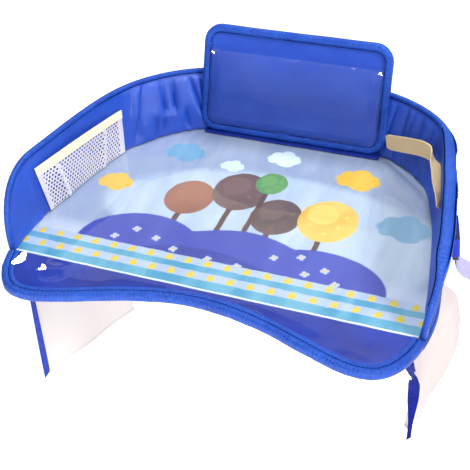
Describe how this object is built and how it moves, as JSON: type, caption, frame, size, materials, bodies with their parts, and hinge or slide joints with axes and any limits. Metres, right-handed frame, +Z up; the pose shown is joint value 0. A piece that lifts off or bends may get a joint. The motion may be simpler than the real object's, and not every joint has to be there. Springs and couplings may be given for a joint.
{
  "type": "car seat tray table",
  "caption": "Soft lap tray for a car seat with a raised wall, clear cover over a print, tilting clear pocket, mesh pocket, elastic toy loop, hanging side flaps and belt halves.",
  "frame": {"origin": "centre of the flat underside of the tray panel, on the plane that rests on the lap", "axes": "+X to the sitter's right, across the tray; +Y away from the sitter, to the back edge with the tilting pocket; +Z up"},
  "size_m": [0.4768, 0.3421, 0.3101],
  "materials": {
    "under_cloth": "plain woven lining, matte",
    "stiff_board": "plain sheet, hidden inside",
    "foam": "thin foam, hidden inside",
    "printed_cloth": "pale blue printed cloth, fine weave",
    "apron_cloth": "dark blue woven cloth, slightly creased",
    "white_piping": "white sewn cord edge",
    "clear_film": "clear soft film, glossy",
    "edge_tape": "royal blue ribbed binding tape, stitched",
    "wall_cloth": "royal blue satin-like woven cloth, puckered",
    "white_mesh": "white net with small holes",
    "cream_elastic": "cream ribbed elastic",
    "blue_webbing": "blue woven webbing",
    "black_plastic": "moulded black plastic, fine grain",
    "flap_cloth": "pale cream thin cloth",
    "flap_tape": "narrow blue ribbon"
  },
  "bodies": {
    "tray": {"bottom_cover": "under_cloth", "base_board": "stiff_board", "foam_pad": "foam", "printed_sheet": "printed_cloth", "front_apron": "apron_cloth", "print_piping": "white_piping", "clear_cover": "clear_film", "front_edge_binding": "edge_tape", "rear_edge_binding": "edge_tape", "wall_inner_cover": "wall_cloth", "wall_outer_cover": "wall_cloth", "wall_board_left": "stiff_board", "wall_board_back": "stiff_board", "wall_board_right": "stiff_board", "wall_top_binding": "edge_tape", "mesh_pocket": "white_mesh", "pocket_elastic": "cream_elastic", "toy_loop_front": "cream_elastic", "toy_loop_rear": "cream_elastic", "holder_hinge_strip": "apron_cloth", "belt_webbing_left": "blue_webbing", "belt_webbing_right": "blue_webbing", "belt_anchor_patch_left": "edge_tape", "belt_anchor_patch_right": "edge_tape", "buckle_socket": "black_plastic", "buckle_plug": "black_plastic", "flap_hem_left": "under_cloth", "flap_hem_right": "under_cloth"},
    "holder": {"holder_lining": "wall_cloth", "holder_board": "stiff_board", "holder_back_cover": "wall_cloth", "holder_binding": "edge_tape", "holder_top_binding": "edge_tape", "holder_window": "clear_film", "window_lip": "clear_film"},
    "flap_left": {"side_flap_left": "flap_cloth", "flap_ribbon_left": "flap_tape"},
    "flap_right": {"side_flap_right": "flap_cloth", "flap_ribbon_right": "flap_tape"},
    "slider_left": {"slider_left": "black_plastic"},
    "slider_right": {"slider_right": "black_plastic"}
  },
  "joints": [
    {"name": "holder_tilt", "type": "hinge", "parent": "tray", "child": "holder", "pos_m": [-0.0015, 0.143, 0.0105], "axis": [1, 0, 0], "range_deg": [0, 84]},
    {"name": "flap_left_swing", "type": "hinge", "parent": "tray", "child": "flap_left", "pos_m": [-0.18, -0.047, -0.0015], "axis": [0.0912, 0.9958, 0], "range_deg": [-65, 85]},
    {"name": "flap_right_swing", "type": "hinge", "parent": "tray", "child": "flap_right", "pos_m": [0.18, -0.047, -0.0015], "axis": [0.0912, -0.9958, 0], "range_deg": [-65, 85]},
    {"name": "slider_left_slide", "type": "slide", "parent": "tray", "child": "slider_left", "axis": [0.0884, -0.0201, 0.9959], "range_m": [0, 0.035]},
    {"name": "slider_right_slide", "type": "slide", "parent": "tray", "child": "slider_right", "axis": [-0.0884, -0.0201, 0.9959], "range_m": [0, 0.035]}
  ]
}
